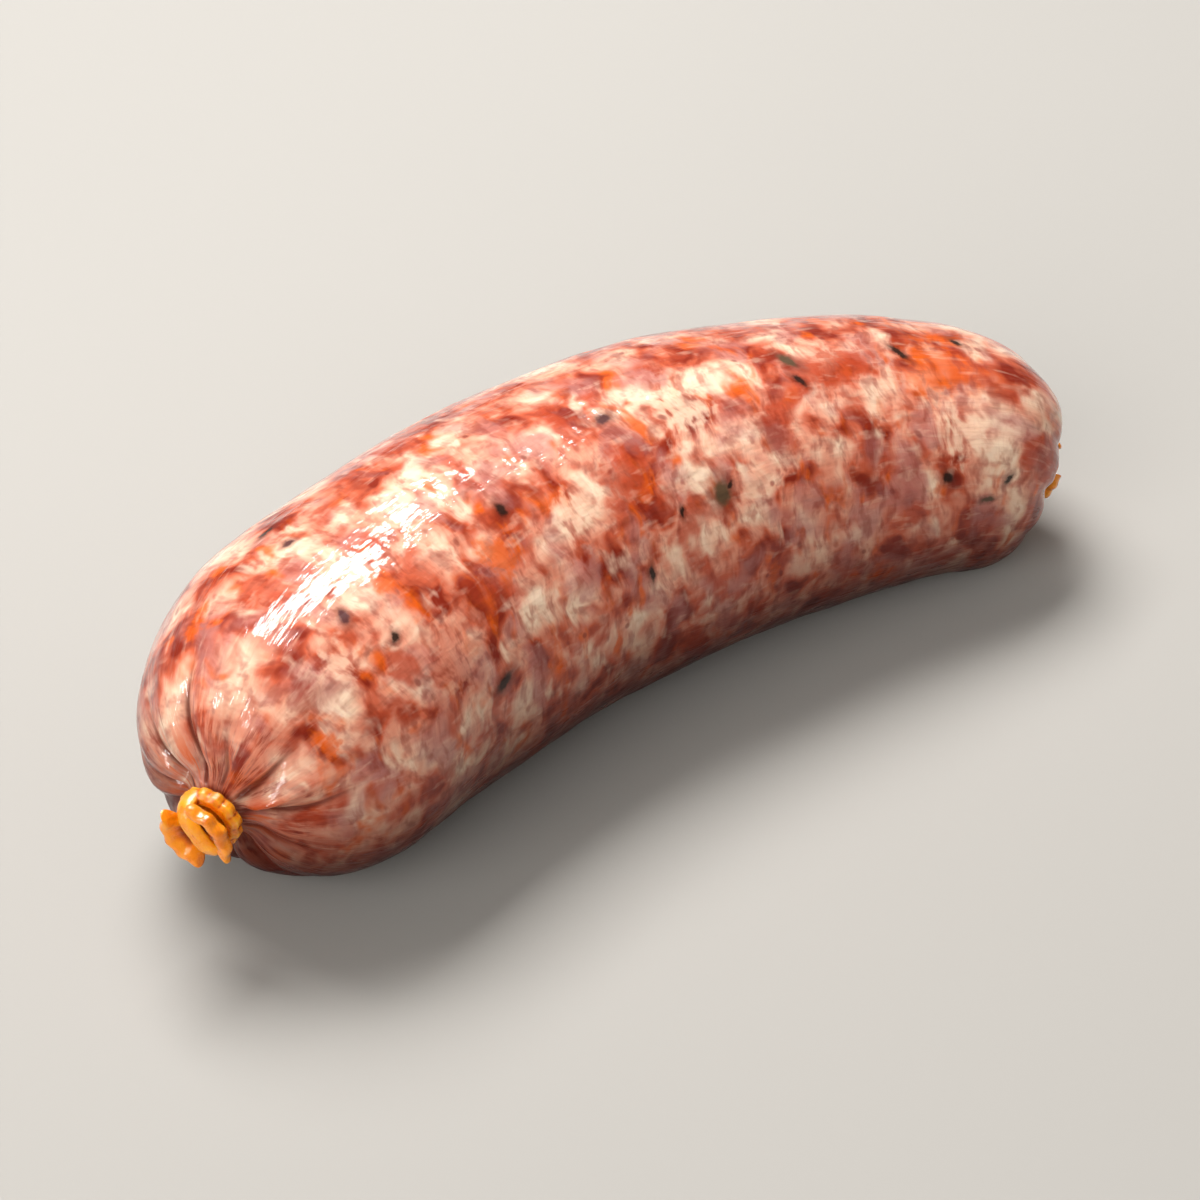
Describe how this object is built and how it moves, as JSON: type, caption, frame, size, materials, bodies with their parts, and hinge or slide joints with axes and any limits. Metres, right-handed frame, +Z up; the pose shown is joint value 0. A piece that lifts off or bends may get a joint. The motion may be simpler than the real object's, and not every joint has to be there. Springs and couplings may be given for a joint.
{
  "type": "sausage link",
  "caption": "Fresh raw sausage link: a plump, bowed natural casing full of coarse meat, pleated at both ends, each neck closed by an orange tie over the ruffled casing end.",
  "frame": {"origin": "centre of the bounding box in plan, on the surface that the link lies on", "axes": "+X along the link from its near, fuller end to its far, slimmer end; +Y towards the outer side of its bow; +Z up from the surface"},
  "size_m": [0.1164, 0.0412, 0.0349],
  "materials": {
    "casing": "moist, glossy, thin natural casing over coarse mottled raw meat and fat",
    "tie": "glossy orange, gathered and ribbed"
  },
  "bodies": {
    "root": {"link": "casing", "near_tie": "tie", "far_tie": "tie"}
  },
  "joints": []
}
